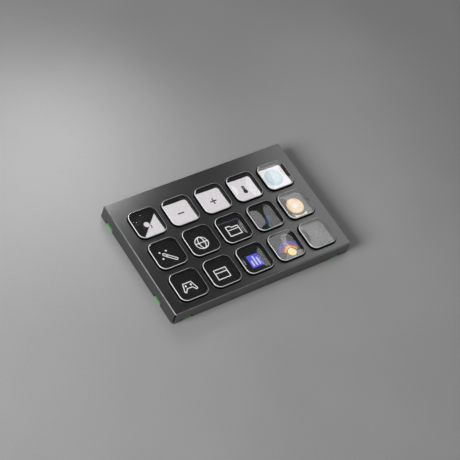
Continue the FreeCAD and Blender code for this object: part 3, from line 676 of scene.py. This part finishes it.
def draw_gamepad(p):
    middle = 0.6
    outline = [(-2.4, 3.0), (2.4, 3.0), (3.7, -1.4), (3.0, -2.0), (1.5, -0.1), (-1.5, -0.1), (-3.0, -2.0),
               (-3.7, -1.4)]
    p.stroke([(middle + x, y) for x, y in outline], "icon", closed=True)
    for x in (-1.5, 1.5):
        p.disc(middle + x, 1.4, 0.55, "icon")


def draw_window(p):
    left, right, low, high = -3.1, 3.9, -2.2, 3.4
    p.stroke([(left, low), (right, low), (right, high), (left, high)], "icon", closed=True)
    p.stroke([(left, 1.4), (right, 1.4)], "icon")
    p.stroke([(1.9, 2.5), (2.9, 2.5)], "green", 0.5)


def draw_bars(p):
    """Violet panel with three pale bars."""
    left, right, low, high = -2.9, 3.8, -3.3, 4.1
    p.fill([(left, low), (right, low), (right, high), (left, high)], "violet")
    for share, height in ((0.22, 2.6), (0.5, 4.8), (0.78, 3.6)):
        x = left + share * (right - left)
        p.stroke([(x, low + 1.3), (x, low + 1.3 + height)], "lilac", 1.05)


def draw_arches(p):
    """Arches one inside the other, over a bright half disc."""
    x, y = 1.6, -3.4
    for radius, colour in ((6.6, "blue"), (5.1, "red"), (3.7, "amber")):
        p.arc(x, y, radius, radius, 25, 155, colour, 1.25, steps=20)
    p.disc(x, y + 0.4, 2.3, "yellow")


def draw_dim(p):
    p.disc(1.4, 2.7, 0.9, "rose")
    p.disc(-1.0, -0.6, 1.1, "deep_blue")


PICTURES = (
    (draw_split, draw_minus, draw_plus, draw_thermometer, draw_disc),
    (draw_wand, draw_globe, draw_folder, draw_bokeh, draw_sun),
    (draw_gamepad, draw_window, draw_bars, draw_arches, draw_dim),
)


# Build the looks

BLACK = speckled("guide_look", (0.010, 0.010, 0.011), (0.017, 0.017, 0.018), 0.25, 0.5)
# Near-black look: painted shade in the rings round the holes, and on the key sides a black paint finish
# that also stands in for shade
SHADE_BLACK = speckled("shade_black_look", grey(0.0015), grey(0.003), 0.3, 0.42, depth_mm=0.002, specular=0.2)
key_mesh = cap_mesh(clear_material(), rim_material(), SHADE_BLACK)
for row, column, middle in each_key():
    key = add_object(f"key_look_r{row}c{column}", key_mesh, f"key_r{row}c{column}", middle)
    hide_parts(cap_name(row, column))
    picture = Picture(f"picture_r{row}c{column}")
    PICTURES[row - 1][column - 1](picture)
    picture.finish(middle)

BURR = speckled("burr_look", (0.17, 0.17, 0.175), (0.30, 0.30, 0.31), 0.3, 0.4, metallic=0.5)
hole_edges = add_object("hole_edges", hole_edge_mesh(SHADE_BLACK, BURR))

SILICONE = speckled("silicone_look", (0.012, 0.012, 0.013), (0.02, 0.02, 0.021), 0.3, 0.62)
mat_sheet = add_object("mat_sheet", mat_sheet_mesh(SILICONE))
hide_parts("return_mat")
ring_mesh = return_ring_mesh(SILICONE)
for row, column, middle in each_key():
    ring = add_object(f"return_ring_r{row}c{column}", ring_mesh, "case", middle)
    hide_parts("return_mat")
    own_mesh(ring)

dress("cover", cover_material())
dress("display_glass", glass_material())
dress("base_tray", speckled("tray_look", (0.03, 0.30, 0.03), (0.045, 0.38, 0.045), 0.3, 0.45))
dress("key_guide", BLACK)
dress("adhesive_frame", speckled("tape_look", grey(0.008), grey(0.014), 0.2, 0.7))
dress("insulating_film", speckled("film_look", grey(0.012), grey(0.02), 0.4, 0.6))
PLATED = speckled("plated_look", (0.52, 0.52, 0.53), (0.66, 0.66, 0.67), 0.3, 0.28, metallic=1.0,
                  depth_mm=0.004)
for name in ("display_frame", "usb_socket"):
    dress(name, PLATED)
dress("screws", speckled("screw_look", (0.10, 0.10, 0.105), (0.15, 0.15, 0.155), 0.15, 0.35, metallic=1.0))
dress("feet", speckled("foot_look", grey(0.018), grey(0.03), 0.3, 0.75, depth_mm=0.03))
BOARD = speckled("board_look", (0.010, 0.012, 0.012), (0.018, 0.021, 0.02), 0.8, 0.4)
for name in ("main_board", "contact_board"):
    dress(name, BOARD)
dress("backlight", speckled("backlight_look", (0.72, 0.73, 0.75), (0.82, 0.83, 0.85), 0.5, 0.5))
CHIP = speckled("chip_look", (0.016, 0.016, 0.017), (0.028, 0.028, 0.03), 0.15, 0.5)
for name in ("controller_chip", "memory_chip", "usb_tongue"):
    dress(name, CHIP)
dress("small_components", speckled("ceramic_look", (0.30, 0.22, 0.14), (0.42, 0.32, 0.21), 0.2, 0.45))
NYLON = speckled("connector_look", (0.66, 0.63, 0.55), (0.76, 0.73, 0.66), 0.3, 0.5)
for name in ("display_connector", "keypad_connector"):
    dress(name, NYLON)
AMBER = speckled("ribbon_look", (0.42, 0.20, 0.04), (0.55, 0.28, 0.06), 0.6, 0.32)
for name in ("display_flex", "keypad_flex"):
    dress(name, AMBER)


# Floor

def make_floor():
    build = bmesh.new()
    half_metres = 3.0
    cells = 24
    bmesh.ops.create_grid(build, x_segments=cells, y_segments=cells, size=half_metres)
    mesh = bpy.data.meshes.new("floor")
    build.to_mesh(mesh)
    build.free()
    floor = bpy.data.objects.new("floor", mesh)
    scene.collection.objects.link(floor)
    mesh.materials.append(speckled("floor_look", grey(0.38), grey(0.40), 1.5, 0.6, smear_mm=60.0))


make_floor()


# Light and camera

def area(name, place, target, size, radiance, along=(0, 0, 1), spread=180):
    """Rectangle of light in millimetres at place, aimed at target, its second side along a direction."""
    light = bpy.data.lights.new(name, "AREA")
    light.shape = "RECTANGLE"
    light.size = size[0] * MM
    light.size_y = size[1] * MM
    light.energy = radiance * math.pi * light.size * light.size_y
    light.spread = math.radians(spread)
    backward = (Vector(place) - Vector(target)).normalized()
    upward = (Vector(along) - Vector(along).project(backward)).normalized()
    sideways = upward.cross(backward)
    item = bpy.data.objects.new(name, light)
    turn = Matrix((sideways, upward, backward)).transposed().to_4x4()
    item.matrix_world = Matrix.Translation(Vector(place) * MM) @ turn
    item.visible_camera = False
    scene.collection.objects.link(item)


# Two lamps hang behind the keypad and throw their light forwards off its face: the wash shows in the
# right-hand keys, and the glow at the rear left corner. The key lamp lights the floor and the left side.
LAMP_Z = FACE_Z + 130
LAMP_AIM = Vector((-347, -276, FACE_Z - 550))    # about the camera's mirror image below the face
area("wash_right", (154, 40, LAMP_Z), LAMP_AIM, (88, 190), 0.22, along=(0.38, 0.925, 0), spread=70)
area("glow_rear_left", (-5, 146, LAMP_Z), LAMP_AIM, (85, 58), 1.9, along=(0, 1, 0), spread=70)
area("key_left", (-820, -60, 490), (0, 0, 0), (420, 420), 17.0)

# The studio round it is lighter near the horizon than overhead
world = bpy.data.worlds.new("studio")
scene.world = world
world.use_nodes = True
background = world.node_tree.nodes["Background"]
direction = world.node_tree.nodes.new("ShaderNodeTexCoord")
split = world.node_tree.nodes.new("ShaderNodeSeparateXYZ")
world.node_tree.links.new(direction.outputs["Generated"], split.inputs["Vector"])
glow = ramp(world.node_tree, split.outputs["Z"], [(0.0, 0.42), (0.3, 0.36), (0.55, 0.09)])
world.node_tree.links.new(glow, background.inputs["Color"])

# The camera is fitted to the plate's corners and the keys in the photo
CAMERA_PLACE = Vector((-347.36, -276.28, 550.54 + FACE_Z))
camera_data = bpy.data.cameras.new("camera")
camera_data.sensor_width = 36
camera_data.lens = 113.48
camera_data.clip_start = 0.01
camera = bpy.data.objects.new("camera", camera_data)
right = Vector((0.81303, -0.52629, 0.24901))
up = Vector((0.31434, 0.75678, 0.57312))
back = Vector((-0.49008, -0.38769, 0.78072))
turn = Matrix((right, up, back)).transposed().to_4x4()
camera.matrix_world = Matrix.Translation(CAMERA_PLACE * MM) @ turn
scene.collection.objects.link(camera)
scene.camera = camera
scene.view_settings.view_transform = "Standard"
